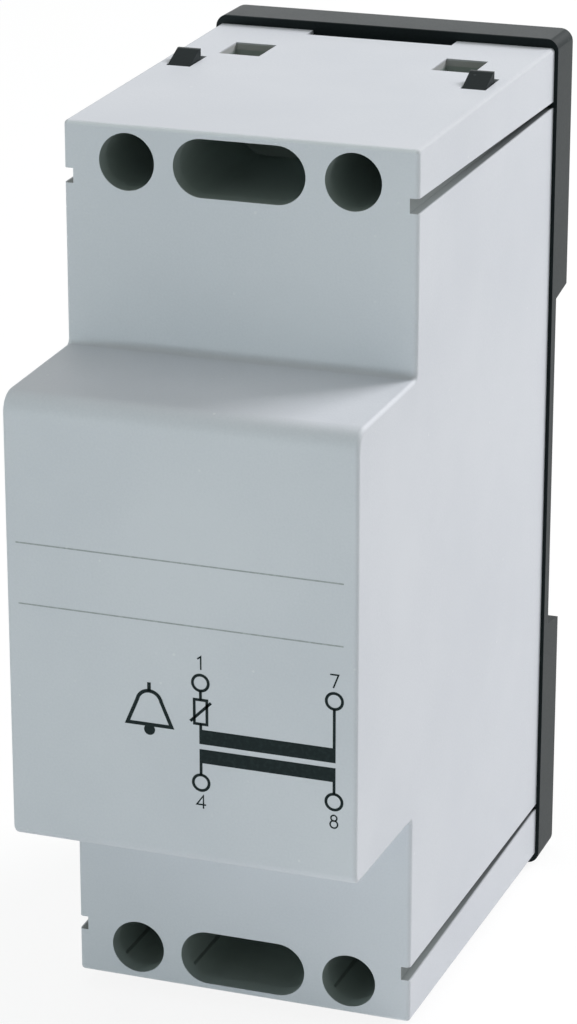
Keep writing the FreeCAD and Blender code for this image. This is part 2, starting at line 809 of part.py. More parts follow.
def make_spring():
    """A compression spring between the lug of the base and the upper end of the slide's window."""
    wire_radius = S.spring_wire / 2
    height = S.spring_length - S.spring_wire
    helix = doc.addObject("Part::Helix", "spring_line")
    bind(helix, "Radius", half_spring - wire_radius)
    bind(helix, "Height", height)
    bind(helix, "Pitch", height / S.spring_turns)
    helix.SegmentLength = 1 / TURN_PIECES
    section = doc.addObject("Part::RegularPolygon", "spring_section")
    section.Polygon = WIRE_SIDES
    bind(section, "Circumradius", wire_radius)
    section.Placement.Rotation = FreeCAD.Rotation(FreeCAD.Vector(1, 0, 0), 90)
    bind(section, "Placement.Base.x", half_spring - wire_radius)
    doc.recompute()
    spring = doc.addObject("Part::Sweep", "slide_spring")
    spring.Label = "slide_spring"
    spring.Sections = [section]
    spring.Spine = (helix, [f"Edge{i}" for i in range(1, len(helix.Shape.Edges) + 1)])
    spring.Solid = True
    spring.Frenet = True
    bind(spring, "Placement.Base.y", spring_middle)
    bind(spring, "Placement.Base.z", -lug_level + wire_radius)
    doc.recompute()
    pieces.append(spring)


# The terminals
def make_block(label, turned):
    """The guide block of one end: screwdriver guides, screw seats and the pockets of the cages."""
    body = new_body(label, turned=turned)
    wide = hood_side(block_front) - S.side_wall - S.block_side_gap
    narrow = arm_inset - S.arm_gap
    step = arm_bottom - S.arm_gap
    outline = front_sketch(body, floor_reach)
    rectangle(outline, -wide, wide, block_bottom, block_top)
    pad(body, outline, block_front - floor_reach - S.fit_gap)

    notches = front_sketch(body, hook_end + S.arm_gap)
    guides = front_sketch(body, block_front)
    seats = front_sketch(body, head_seat)
    cages = level_sketch(body, block_top + CUT_MARGIN)
    slots = level_sketch(body, block_top + CUT_MARGIN)
    half_pocket = half_cage + S.cage_gap
    half_slot = S.bar_width / 2 + S.bar_gap
    for side in (-1, 1):
        x = side * terminal_offset
        rectangle(notches, side * narrow, side * (wide + CUT_MARGIN), step, block_top + CUT_MARGIN)
        circle(guides, x, terminal_level, S.driver_hole / 2 + S.guide_gap)
        circle(seats, x, terminal_level, S.screw_diameter / 2 + S.shank_play)
        rectangle(cages, x - half_pocket, x + half_pocket, -pocket_front, -cage_back + S.cage_gap)
        rectangle(slots, x - half_slot, x + half_slot, -bar_front - S.bar_gap, -wire_end + S.bar_gap)
    pocket(body, notches, hook_end)
    pocket(body, guides, block_front - head_seat)
    pocket(body, seats, S.screw_seat)
    pocket(body, cages, CUT_MARGIN + block_top - cage_bottom + S.cage_gap)
    pocket(body, slots, S.block_height + 2 * CUT_MARGIN)
    middle = front_sketch(body, block_front)
    obround(middle, terminal_level, slot_length + 2 * S.guide_gap, S.slot_height + 2 * S.guide_gap)
    pocket(body, middle, block_front - head_face - S.slot_floor)


def make_screw(label, x, z, turned):
    """A slotted clamp screw that turns on its seat."""
    body = new_body(label, x, z, turned)
    head = S.head_diameter / 2
    thread = S.screw_diameter / 2
    bevel = S.drive_width / 2
    tip = cage_inner_front
    profile = level_sketch(body, 0)
    polygon(
        profile,
        [
            (0, -head_face),
            (head - bevel, -head_face),
            (head, -head_face + bevel),
            (head, -head_seat),
            (thread, -head_seat),
            (thread, -tip - bevel),
            (thread - bevel, -tip),
            (0, -tip),
        ],
    )
    revolve(body, profile)
    drive = front_sketch(body, head_face)
    centred_rectangle(drive, head + CUT_MARGIN, S.drive_width / 2)
    pocket(body, drive, S.drive_depth)


def make_cage(label, x, z, turned):
    """A rising cage: a square tube for the wire, with the thread in its front wall."""
    body = new_body(label, x, z, turned)
    ring = level_sketch(body, cage_bottom - terminal_level)
    rectangle(ring, -half_cage, half_cage, -cage_face, -cage_back)
    rectangle(ring, -S.wire_width / 2, S.wire_width / 2, -cage_inner_front, -S.wire_start)
    pad(body, ring, S.cage_height)
    thread = front_sketch(body, cage_face)
    circle(thread, 0, 0, S.screw_diameter / 2 + S.screw_gap)
    pocket(body, thread, S.cage_front)


def make_contact_bar(label, x, z, turned):
    """A bent strip: the clamping face in the cage and the solder tab below the block."""
    body = new_body(label, x, z, turned)
    profile = side_sketch(body)
    top = bar_top - terminal_level
    bottom = tab_level - terminal_level
    polygon(
        profile,
        [
            (-wire_end, top),
            (-bar_front, top),
            (-bar_front, bottom + S.bar_thickness),
            (-bar_front - S.tab_reach, bottom + S.bar_thickness),
            (-bar_front - S.tab_reach, bottom),
            (-wire_end, bottom),
        ],
    )
    pad(body, profile, S.bar_width, both=True)


# The core and coil
def make_core():
    rear = -S.core_seat
    front = -core_end
    leg = S.leg_width
    foot = -half_window - leg
    body = new_body("core_e_stack")
    profile = side_sketch(body)
    polygon(
        profile,
        [
            (front, foot),
            (rear, foot),
            (rear, half_window),
            (rear - leg, half_window),
            (rear - leg, -half_window),
            (-core_middle + leg, -half_window),
            (-core_middle + leg, half_window),
            (-core_middle - leg, half_window),
            (-core_middle - leg, -half_window),
            (front + leg, -half_window),
            (front + leg, half_window),
            (front, half_window),
        ],
    )
    for y in (rear - leg / 2, front + leg / 2):
        circle(profile, y, foot + leg / 2, S.core_hole / 2)
    pad(body, profile, S.stack_height, both=True)

    body = new_body("core_i_stack")
    profile = side_sketch(body)
    rectangle(profile, front, rear, half_window, half_window + leg)
    for y in (rear - leg / 2, front + leg / 2):
        circle(profile, y, half_window + leg / 2, S.core_hole / 2)
    pad(body, profile, S.stack_height, both=True)


def make_bobbin():
    """A split bobbin: a square tube with three flanges."""
    body = new_body("bobbin")
    flange = level_sketch(body, -bobbin_half)
    rectangle(
        flange, -flange_half_x, flange_half_x, -core_middle - flange_half_y, -core_middle + flange_half_y
    )
    flange_pad = pad(body, flange, S.bobbin_wall)
    row = body.newObject("PartDesign::LinearPattern", "bobbin_flanges")
    row.Originals = [flange_pad]
    row.Direction = (flange, ["N_Axis"])
    row.Occurrences = 3
    bind(row, "Length", 2 * bobbin_half - S.bobbin_wall)
    body.Tip = row
    doc.recompute()
    tube = level_sketch(body, -bobbin_half)
    rectangle(tube, -tube_half_x, tube_half_x, -core_middle - tube_half_y, -core_middle + tube_half_y)
    pad(body, tube, 2 * bobbin_half)
    bore = level_sketch(body, bobbin_half)
    half_x = tube_half_x - S.bobbin_wall
    half_y = tube_half_y - S.bobbin_wall
    rectangle(bore, -half_x, half_x, -core_middle - half_y, -core_middle + half_y)
    pocket(body, bore, 2 * bobbin_half)


def make_windings():
    """A coil and its wrap in each chamber of the bobbin."""
    height = chamber_height - 2 * S.coil_play
    wound_x = flange_half_x - S.coil_inset
    wound_y = flange_half_y - S.coil_inset
    thick = S.tape_thickness
    for name, middle in (("primary", flange_step / 2), ("secondary", -flange_step / 2)):
        coil = new_body(f"{name}_winding")
        ring = level_sketch(coil, middle - height / 2)
        rounded_rectangle(ring, wound_x, -core_middle, wound_y, S.coil_corner)
        rectangle(ring, -tube_half_x, tube_half_x, -core_middle - tube_half_y, -core_middle + tube_half_y)
        pad(coil, ring, height)
        tape = new_body(f"{name}_tape")
        ring = level_sketch(tape, middle - height / 2)
        rounded_rectangle(ring, wound_x + thick, -core_middle, wound_y + thick, S.coil_corner + thick)
        rounded_rectangle(ring, wound_x, -core_middle, wound_y, S.coil_corner)
        pad(tape, ring, height)


# The thermistor and the leads
def make_thermistor():
    """A coated disc on two legs, hung from the solder tab of terminal 1."""
    body = new_body("thermistor", -lead_offset, disc_level)
    radius = S.disc_diameter / 2
    edge = S.disc_edge
    front = -tab_middle - S.disc_thickness / 2
    rear = -tab_middle + S.disc_thickness / 2
    profile = level_sketch(body, 0)
    polygon(
        profile,
        [
            (0, front),
            (radius - edge, front),
            (radius, front + edge),
            (radius, rear - edge),
            (radius - edge, rear),
            (0, rear),
        ],
    )
    revolve(body, profile)
    for length, back in ((tab_level - disc_level, False), (disc_level - lead_one_top, True)):
        leg = level_sketch(body, 0)
        circle(leg, 0, -tab_middle, S.leg_diameter / 2)
        pad(body, leg, length, back=back)


def make_short_lead():
    """The stub of lead from the primary to the thermistor."""
    body = new_body("primary_lead_1", -lead_offset)
    section = level_sketch(body, bobbin_half)
    even_polygon(section, 0, -tab_middle, S.lead_diameter / 2, LEAD_SIDES)
    pad(body, section, S.lead_stub)


def make_lead(label, x, turned):
    """A lead from a bobbin flange to a solder tab: two straight ends and an S bend between them."""
    body = new_body(label, x, 0, turned)
    radius = float(S.lead_bend)
    start = -tab_middle - S.lead_shift
    finish = -tab_middle
    angle = math.acos(1 - float(S.lead_shift) / (2 * radius))
    straight = (float(tab_level - bobbin_half) - 2 * radius * math.sin(angle)) / 2
    first_level = float(bobbin_half) + straight
    last_level = float(tab_level) - straight
    middle = flat_point(float(start) + float(S.lead_shift) / 2, (first_level + last_level) / 2)
    first_end = flat_point(start, first_level)
    last_end = flat_point(finish, last_level)
    lean = angle / 2
    first_mid = flat_point(
        float(start) + radius * (1 - math.cos(lean)), first_level + radius * math.sin(lean)
    )
    last_mid = flat_point(
        float(finish) - radius * (1 - math.cos(lean)), last_level - radius * math.sin(lean)
    )
    path = side_sketch(body)
    path.addGeometry(Part.LineSegment(flat_point(start, bobbin_half), first_end), False)
    path.addGeometry(Part.Arc(middle, first_mid, first_end), False)
    path.addGeometry(Part.Arc(middle, last_mid, last_end), False)
    path.addGeometry(Part.LineSegment(last_end, flat_point(finish, tab_level)), False)
    for joint in ((0, 2, 1, 2), (1, 1, 2, 1), (2, 2, 3, 1)):
        path.addConstraint(Sketcher.Constraint("Tangent", *joint))
    for line in (0, 3):
        path.addConstraint(Sketcher.Constraint("Vertical", line))
    path.addConstraint(Sketcher.Constraint("Equal", 0, 3))
    path.addConstraint(Sketcher.Constraint("Equal", 1, 2))
    fix_point(path, 0, 1, start, bobbin_half)
    fix_point(path, 3, 2, finish, tab_level)
    fix_radius(path, 1, S.lead_bend)
    section = level_sketch(body, bobbin_half)
    even_polygon(section, 0, start, S.lead_diameter / 2, LEAD_SIDES)
    doc.recompute()
    pipe = body.newObject("PartDesign::AdditivePipe", f"{label}_pipe")
    pipe.Profile = section
    pipe.Spine = path
    doc.recompute()


def check_pieces():
    """Stops at a failed feature or a bad solid."""
    for item in doc.Objects:
        if "Invalid" in item.State or "Error" in item.State:
            raise RuntimeError(f"{item.Name} failed: {item.State}")
    for piece in pieces:
        if piece.Shape.isNull() or not piece.Shape.isValid():
            raise RuntimeError(f"{piece.Label} has no valid shape")
        if len(piece.Shape.Solids) != 1:
            raise RuntimeError(f"{piece.Label} has {len(piece.Shape.Solids)} solids")


def write_pieces():
    os.makedirs("parts", exist_ok=True)
    for piece in pieces:
        piece.Shape.exportStep(os.path.join("parts", f"{piece.Label}.step"))
        print(piece.Label, round(piece.Shape.Volume, 1))


# Terminal number, side and end: 1 and 7 are on top, 4 and 8 below
TERMINALS = [(1, -1, 1), (7, 1, 1), (4, -1, -1), (8, 1, -1)]

make_hood()
make_base()
make_slide()
make_spring()
make_block("terminal_block_top", False)
make_block("terminal_block_bottom", True)
for number, side, end in TERMINALS:
    place = (side * terminal_offset, end * terminal_level, end < 0)
    make_screw(f"terminal_screw_{number}", *place)
    make_cage(f"terminal_cage_{number}", *place)
    make_contact_bar(f"contact_bar_{number}", *place)
make_core()
make_bobbin()
make_windings()
make_thermistor()
make_short_lead()
make_lead("primary_lead_7", lead_offset, False)
make_lead("secondary_lead_4", -lead_offset, True)
make_lead("secondary_lead_8", lead_offset, True)
doc.recompute()
check_pieces()
write_pieces()
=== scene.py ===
"""Looks of the bell transformer: finishes for every CAD node, the print on its nose and a plain studio."""

import json
import math

import bmesh
import bpy
from mathutils import Matrix, Vector


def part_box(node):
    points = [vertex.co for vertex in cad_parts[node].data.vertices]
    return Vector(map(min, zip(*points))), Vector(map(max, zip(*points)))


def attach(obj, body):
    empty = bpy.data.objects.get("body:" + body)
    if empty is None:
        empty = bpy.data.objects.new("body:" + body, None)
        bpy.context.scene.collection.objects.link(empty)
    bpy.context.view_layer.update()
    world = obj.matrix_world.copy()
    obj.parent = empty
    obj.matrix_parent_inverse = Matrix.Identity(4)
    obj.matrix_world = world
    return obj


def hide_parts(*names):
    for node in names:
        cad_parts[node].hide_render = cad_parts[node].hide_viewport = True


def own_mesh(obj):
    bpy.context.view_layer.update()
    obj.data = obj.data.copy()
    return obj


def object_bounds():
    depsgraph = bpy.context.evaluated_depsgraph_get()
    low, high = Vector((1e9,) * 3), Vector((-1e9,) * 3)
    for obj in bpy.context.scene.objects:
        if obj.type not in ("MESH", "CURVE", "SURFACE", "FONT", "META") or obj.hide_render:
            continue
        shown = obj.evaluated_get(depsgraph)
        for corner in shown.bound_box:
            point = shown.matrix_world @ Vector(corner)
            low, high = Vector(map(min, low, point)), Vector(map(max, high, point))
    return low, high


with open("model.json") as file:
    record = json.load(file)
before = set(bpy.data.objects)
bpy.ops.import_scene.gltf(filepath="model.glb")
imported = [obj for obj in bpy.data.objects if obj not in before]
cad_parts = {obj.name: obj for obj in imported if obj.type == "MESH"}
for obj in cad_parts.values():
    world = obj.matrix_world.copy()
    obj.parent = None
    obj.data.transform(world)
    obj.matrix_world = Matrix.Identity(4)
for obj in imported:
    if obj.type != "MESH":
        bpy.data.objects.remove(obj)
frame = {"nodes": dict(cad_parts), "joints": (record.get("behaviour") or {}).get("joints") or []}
cad_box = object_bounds()

MM = 0.001
NOISE_MIDDLE = 0.5
MASK_FADE = 0.1

# Sockets of a Mix node that mixes colours
MIX_FACTOR = 0
MIX_FIRST = 6
MIX_SECOND = 7
MIX_RESULT = 2


# Shader arithmetic
class Signal:
    """A socket of a material's nodes, with arithmetic. node() adds any node to the same tree."""

    def __init__(self, tree, socket):
        self.tree = tree
        self.socket = socket

    def node(self, kind, sockets, output=0, **settings):
        """Adds a node: first its settings, then its sockets' values or links."""
        made = self.tree.nodes.new(kind)
        for name, value in settings.items():
            setattr(made, name, value)
        for key, value in sockets.items():
            if isinstance(value, Signal):
                self.tree.links.new(value.socket, made.inputs[key])
            else:
                made.inputs[key].default_value = value
        return Signal(self.tree, made.outputs[output] if made.outputs else None)

    def math(self, operation, *values):
        return self.node("ShaderNodeMath", dict(enumerate(values)), operation=operation)

    def __add__(self, other):
        return self.math("ADD", self, other)

    __radd__ = __add__

    def __sub__(self, other):
        return self.math("SUBTRACT", self, other)

    def __rsub__(self, other):
        return self.math("SUBTRACT", other, self)

    def __mul__(self, other):
        return self.math("MULTIPLY", self, other)

    __rmul__ = __mul__

    def size(self):
        """The value without its sign."""
        return self.math("ABSOLUTE", self)

    def larger(self, other):
        """The larger of two values."""
        return self.math("MAXIMUM", self, other)

    def wave(self):
        """The sine of an angle."""
        return self.math("SINE", self)

    def beside(self, other):
        """Distance to a point that lies this far along and other across."""
        return self.math("SQRT", self * self + other * other)

    def ramp(self, low, high):
        """Rises smoothly from 0 at low to 1 at high."""
        ends = {"Value": self, "From Min": low, "From Max": high}
        return self.node("ShaderNodeMapRange", ends, interpolation_type="SMOOTHSTEP")

    def within(self, limit, fade=MASK_FADE):
        """1 up to a limit, falling smoothly to 0 past it."""
        return 1 - self.ramp(limit, limit + fade)

    def swing(self, amount):
        """A noise's rise and fall about its middle, scaled."""
        return (self - NOISE_MIDDLE) * amount

    def mix(self, first, second):
        """The first colour where this is 0 and the second where it is 1."""
        sockets = {MIX_FACTOR: self, MIX_FIRST: first, MIX_SECOND: second}
        return self.node("ShaderNodeMix", sockets, output=MIX_RESULT, data_type="RGBA")

    def stretch(self, x, y, z):
        """A vector with its parts scaled."""
        return self.node("ShaderNodeVectorMath", {0: self, 1: (x, y, z)}, operation="MULTIPLY")

    def part(self, axis):
        """One part of a vector: X, Y or Z."""
        return self.node("ShaderNodeSeparateXYZ", {"Vector": self}, output=axis)

    def noise(self, scale, detail=2.0):
        return self.node("ShaderNodeTexNoise", {"Vector": self, "Scale": scale, "Detail": detail})

    def cells(self, scale):
        """Distance to the nearest of many scattered points."""
        return self.node("ShaderNodeTexVoronoi", {"Vector": self, "Scale": scale})

    def bump(self, depth):
        """A normal from this height, which stands depth millimetres high where it is 1."""
        return self.node("ShaderNodeBump", {"Height": self, "Distance": depth * MM, "Strength": 1.0})


def new_material(name):
    """A material and its surface point in millimetres."""
    material = bpy.data.materials.new(name)
    material.use_nodes = True
    tree = material.node_tree
    tree.nodes.clear()
    place = Signal(tree, tree.nodes.new("ShaderNodeTexCoord").outputs["Object"])
    return material, place.stretch(1 / MM, 1 / MM, 1 / MM)


def shade(point, colour, roughness, normal, **constants):
    """Ends a material in one Principled shader. Constants go straight to the shader's own sockets."""
    sockets = {"Base Color": colour, "Roughness": roughness, "Normal": normal}
    sockets.update({name.replace("_", " "): value for name, value in constants.items()})
    shader = point.node("ShaderNodeBsdfPrincipled", sockets)
    point.node("ShaderNodeOutputMaterial", {"Surface": shader})


def rgb(red, green, blue):
    return (red, green, blue, 1.0)


# Openings and edges of the hood, in millimetres: places from the frame, reaches from the hood's own sizes
hood_low, hood_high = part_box("housing_hood")
screw_low, screw_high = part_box("terminal_screw_7")
guide_low, guide_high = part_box("terminal_block_top")
SIDE_AT_REAR = hood_high.x / MM
END_AT_REAR = hood_high.z / MM
DRAFT_DEGREES = 0.7
SIDE_SLOPE = math.tan(math.radians(DRAFT_DEGREES))
SHOULDER = -44.0
SHOULDER_SKIN = 0.02
SCREW_X = (screw_low.x + screw_high.x) / 2 / MM
SCREW_Z = (screw_low.z + screw_high.z) / 2 / MM
HOLE_REACH = 3.0
SLOT_REACH = 3.05
SLOT_STRAIGHT = 3.7
GUIDE_LEAD = 0.3
GUIDE_FRONT = guide_low.y / MM - GUIDE_LEAD
GUIDE_REAR = guide_high.y / MM
GUIDE_FADE = 1.0
GUIDE_MARGIN = 2.0
END_INNER = 43.4
END_FADE = 0.15
WINDOW_MIDDLE = -11.6
WINDOW_HALF_WIDTH = 2.2
WINDOW_HALF_DEPTH = 2.6
WINDOW_TOP = 44.0
GROOVE_FROM_END = 5.75
GROOVE_LEVEL = END_AT_REAR - GROOVE_FROM_END
GROOVE_HALF = 0.73
GROOVE_FADE = 0.04
GROOVE_WALL = (0.04, 0.2)
GROOVE_DEPTH = 1.0
GROOVE_DEPTH_FADE = 0.2
GROOVE_RUN_OUT = -6.0
EDGE_RADIUS = 0.4
EDGE_CORE = 0.12

# Painted shade on the walls of the hood's holes and slot
HOLE_WALL_SHADE = rgb(0.335, 0.390, 0.375)
# Painted shade on the walls of the wire windows
WINDOW_WALL_SHADE = rgb(0.47, 0.485, 0.49)
# Painted shade in the side grooves, darker towards the rear
GROOVE_SHADE_FRONT = rgb(0.27, 0.295, 0.30)
GROOVE_SHADE_REAR = rgb(0.085, 0.095, 0.10)
# Painted light on the rounded edge between the ends and the shoulders' front
FRONT_EDGE_LIGHT = rgb(0.80, 0.82, 0.86)
FRONT_EDGE_LIGHT_SHARE = 0.8
# Painted shade on the rounded long edges where the sides meet the ends, which dims their highlight
LONG_EDGE_SHADE = rgb(0.46, 0.475, 0.505)
LONG_EDGE_SHADE_SHARE = 0.6


def hole_wall_shade(across, depth, level, behind):
    """Where shade is painted: the walls of the round holes and of the slot between them, as far back as
    the guide block.
    """
    from_row = level - SCREW_Z
    widened = depth.ramp(GUIDE_FRONT, GUIDE_FRONT + MASK_FADE) * GUIDE_MARGIN
    hole = ((across - SCREW_X).beside(from_row) - widened).within(HOLE_REACH)
    past_straight = (across - SLOT_STRAIGHT).larger(0.0)
    slot = (past_straight.beside(from_row) - widened).within(SLOT_REACH)
    inside = level.within(END_INNER, END_FADE) * depth.within(GUIDE_REAR - GUIDE_FADE, GUIDE_FADE)
    return hole.larger(slot) * behind * inside


def window_wall_shade(across, depth, level):
    """Where shade is painted: the walls of the windows in the hood's ends, through which the wires enter.
    """
    wide = (across - SCREW_X).size().within(WINDOW_HALF_WIDTH)
    deep = (depth - WINDOW_MIDDLE).size().within(WINDOW_HALF_DEPTH)
    return wide * deep * level.within(WINDOW_TOP)


def groove_wall_shade(sunk, level, behind):
    """Where shade is painted: the walls of the grooves along the hood's sides, from how far a point lies
    below the side.
    """
    groove = sunk.ramp(*GROOVE_WALL) * sunk.within(GROOVE_DEPTH, GROOVE_DEPTH_FADE) * behind
    return groove * (level - GROOVE_LEVEL).size().within(GROOVE_HALF, GROOVE_FADE)


def rounded_edge(below_one, below_other):
    """The rounding where two faces meet, from how far a point lies below each."""
    return 1 - below_one.larger(below_other).ramp(EDGE_CORE, EDGE_RADIUS)


def over_hood(point, colour):
    """The hood's colour, with painted light on its rounded front edge, painted shade along its long edges
    and painted shade on the walls of its openings and grooves.
    """
    across = point.part("X").size()
    depth = point.part("Y")
    level = point.part("Z").size()
    behind = depth.ramp(SHOULDER + SHOULDER_SKIN, SHOULDER + MASK_FADE)
    draft = depth * SIDE_SLOPE
    below_side = draft + SIDE_AT_REAR - across
    below_end = draft + END_AT_REAR - level
    front_edge_light = rounded_edge(depth - SHOULDER, below_end)
    long_edge_shade = rounded_edge(below_side, below_end)
    groove_shade_colour = depth.ramp(SHOULDER, GROOVE_RUN_OUT).mix(GROOVE_SHADE_FRONT, GROOVE_SHADE_REAR)
    colour = (front_edge_light * FRONT_EDGE_LIGHT_SHARE).mix(colour, FRONT_EDGE_LIGHT)
    colour = (long_edge_shade * LONG_EDGE_SHADE_SHARE).mix(colour, LONG_EDGE_SHADE)
    colour = window_wall_shade(across, depth, level).mix(colour, WINDOW_WALL_SHADE)
    colour = groove_wall_shade(below_side, level, behind).mix(colour, groove_shade_colour)
    return hole_wall_shade(across, depth, level, behind).mix(colour, HOLE_WALL_SHADE)


# Outer faces of the flange, in millimetres: the painted sheen sets in between two depths below each face
flange_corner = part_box("rear_base")[1]
FLANGE_SIDE = flange_corner.x / MM
FLANGE_END = flange_corner.z / MM
SIDE_SKIN = (0.05, 0.02)
END_SKIN = (0.12, 0.04)
SIDE_SHEEN = 0.44
SHEEN_PATCHES = (-0.6, 0.5)
# Painted sheen: grey on the flange's side and end faces
SHEEN_GREY = rgb(0.066, 0.073, 0.075)


def over_base(point, colour):
    """The base's black, with a painted sheen of grey in patches on the outer faces of its flange."""
    side = point.part("X").size().ramp(FLANGE_SIDE - SIDE_SKIN[0], FLANGE_SIDE - SIDE_SKIN[1])
    end = point.part("Z").size().ramp(FLANGE_END - END_SKIN[0], FLANGE_END - END_SKIN[1])
    patches = point.noise(scale=0.3, detail=4.0).ramp(*SHEEN_PATCHES)
    sheen = (side * SIDE_SHEEN).larger(end) * patches
    return sheen.mix(colour, SHEEN_GREY)


# Moulded plastic. Here and below, noise scales are per millimetre and depths of relief in millimetres
MID_TONES = (0.3, 0.7)
CLOUD_SHARE = 0.65
GRAIN_SHARE = 0.35
GRAIN_DEPTH = 0.012
GRAIN_ROUGHNESS = 0.16
CLOUD_ROUGHNESS = 0.12
DUST_REACH = 0.05
DUST_FADE = 0.05
DUST_PATCHES = (0.52, 0.64)
DUST_COVER = 0.5
SATIN_GLOSS = 0.42


def moulded(name, dark, light, speck, roughness, specular=SATIN_GLOSS, places=None):
    """Moulded plastic: cloudy colour, an eroded grain and a few pale specks of dust."""
    material, point = new_material(name)
    cloud = point.noise(scale=0.055, detail=3.0)
    grain = point.noise(scale=4.5, detail=3.0)
    tone = (cloud * CLOUD_SHARE + grain * GRAIN_SHARE).ramp(*MID_TONES)
    dust = point.cells(scale=0.55).within(DUST_REACH, DUST_FADE)
    seen = dust * point.noise(scale=0.2).ramp(*DUST_PATCHES)
    colour = (seen * DUST_COVER).mix(tone.mix(dark, light), speck)
    if places:
        colour = places(point, colour)
    rough = roughness + grain.swing(GRAIN_ROUGHNESS) + cloud.swing(CLOUD_ROUGHNESS)
    shade(point, colour, rough, grain.bump(GRAIN_DEPTH), Specular_IOR_Level=specular)
    return material


# Plated and rolled metal
PIT_REACH = 0.08
PIT_FADE = 0.08
PIT_ROUGHNESS = 0.2
PIT_SHARE = 0.6
STAIN_PATCHES = (0.42, 0.7)
STAIN_COVER = 0.45
DRAWN_ROUGHNESS = 0.22
DRAWN_DEPTH = 0.006


def plated(name, dark, light, tint, roughness, lines):
    """Plated or rolled metal: fine drawn lines, a cloudy passivation tint and small pits."""
    material, point = new_material(name)
    drawn = point.stretch(*lines).noise(scale=1.0, detail=4.0)
    stain = point.noise(scale=0.5).ramp(*STAIN_PATCHES)
    pits = point.cells(scale=2.6).within(PIT_REACH, PIT_FADE)
    colour = (stain * STAIN_COVER).mix(drawn.ramp(*MID_TONES).mix(dark, light), tint)
    rough = roughness + drawn.swing(DRAWN_ROUGHNESS) + pits * PIT_ROUGHNESS
    shade(point, colour, rough, (drawn - pits * PIT_SHARE).bump(DRAWN_DEPTH), Metallic=1.0)
    return material


# Laminated core
SHEET_EDGES = (-0.75, 0.1)
SHEET_POLISH = 0.2
SHEET_GRAIN = (6.0, 0.8, 0.8)
SHEET_GRAIN_SHARE = 0.2
SHEET_DEPTH = 0.05
SHEET_DARK = rgb(0.20, 0.205, 0.22)
SHEET_LIGHT = rgb(0.34, 0.345, 0.355)
VARNISH = rgb(0.045, 0.035, 0.03)
VARNISH_ROUGHNESS = 0.62
RUST = rgb(0.17, 0.075, 0.035)
RUST_PATCHES = (0.56, 0.74)
RUST_COVER = 0.5
RUST_ROUGHNESS = 0.2


def laminated(name, pitch):
    """Stacked sheets seen on edge, with varnish in the joints and a bloom of rust."""
    material, point = new_material(name)
    sheet = (point.part("X") * (2 * math.pi / pitch)).wave().ramp(*SHEET_EDGES)
    grain = point.stretch(*SHEET_GRAIN).noise(scale=1.0, detail=4.0)
    rust = point.noise(scale=0.22, detail=5.0).ramp(*RUST_PATCHES)
    edge = sheet.mix(VARNISH, grain.mix(SHEET_DARK, SHEET_LIGHT))
    colour = (rust * RUST_COVER).mix(edge, RUST)
    rough = VARNISH_ROUGHNESS - sheet * SHEET_POLISH + rust * RUST_ROUGHNESS
    relief = sheet + grain * SHEET_GRAIN_SHARE
    shade(point, colour, rough, relief.bump(SHEET_DEPTH), Metallic=0.75)
    return material


# Windings: wander and depth are shares of the wires' pitch
STRAND_WANDER = 0.35
STRAND_DEPTH = 0.4
STRAND_SIDES = (0.1, 0.7)
STRAND_ROUGHNESS = 0.42
STRAND_SHINE = 0.16
STRAND_GAP = rgb(0.06, 0.02, 0.01)


def wound(name, pitch, dark, light):
    """Layers of enamelled wire, side by side."""
    material, point = new_material(name)
    along = point.part("Z") + point.noise(scale=0.3) * (pitch * STRAND_WANDER)
    strand = (along * (math.pi / pitch)).wave().size()
    tone = point.noise(scale=0.7, detail=3.0).ramp(*MID_TONES)
    colour = strand.ramp(*STRAND_SIDES).mix(STRAND_GAP, tone.mix(dark, light))
    rough = STRAND_ROUGHNESS - strand * STRAND_SHINE
    shade(point, colour, rough, strand.bump(pitch * STRAND_DEPTH), Metallic=0.6, Coat_Weight=0.4)
    return material


# Film over the windings
LAP_TURN = 1.35
LAP_WANDER = 2.0
LAP_EDGE = (0.1, 0.3)
LAP_COVER = 0.4
LAP_STEP = 0.3
FILM_BANDS = (0.05, 0.05, 2.4)
FILM_WRINKLES = (0.2, 0.2, 0.9)
FILM_DARK = rgb(0.58, 0.36, 0.05)
FILM_LIGHT = rgb(0.82, 0.60, 0.14)
FILM_LAP = rgb(0.86, 0.70, 0.26)
FILM_ROUGHNESS = 0.22
WRINKLE_ROUGHNESS = 0.18
WRINKLE_DEPTH = 0.05


def wrapped(name):
    """Two laps of yellow film with the coil showing through as faint bands."""
    material, point = new_material(name)
    turn = point.part("Z") * LAP_TURN + point.noise(scale=0.12) * LAP_WANDER
    lap = turn.wave().ramp(*LAP_EDGE)
    bands = point.stretch(*FILM_BANDS).noise(scale=1.0)
    wrinkle = point.stretch(*FILM_WRINKLES).noise(scale=1.0, detail=4.0)
    colour = (lap * LAP_COVER).mix(bands.mix(FILM_DARK, FILM_LIGHT), FILM_LAP)
    rough = FILM_ROUGHNESS + wrinkle * WRINKLE_ROUGHNESS
    shade(point, colour, rough, (wrinkle + lap * LAP_STEP).bump(WRINKLE_DEPTH), Coat_Weight=0.25)
    return material


# Dipped disc
DIP_SPECKS = (0.05, 0.3)
DIP_TONES = (0.35, 0.65)
DIP_ROUGHNESS = 0.28
FLOW_ROUGHNESS = 0.15
FLOW_DEPTH = 0.12


def dipped(name, dark, light):
    """A dipped epoxy coat, thick and uneven."""
    material, point = new_material(name)
    flow = point.noise(scale=0.6)
    speck = point.cells(scale=3.2).ramp(*DIP_SPECKS)
    colour = speck.mix(dark, flow.ramp(*DIP_TONES).mix(dark, light))
    rough = DIP_ROUGHNESS + flow * FLOW_ROUGHNESS
    shade(point, colour, rough, flow.bump(FLOW_DEPTH), Coat_Weight=0.3)
    return material


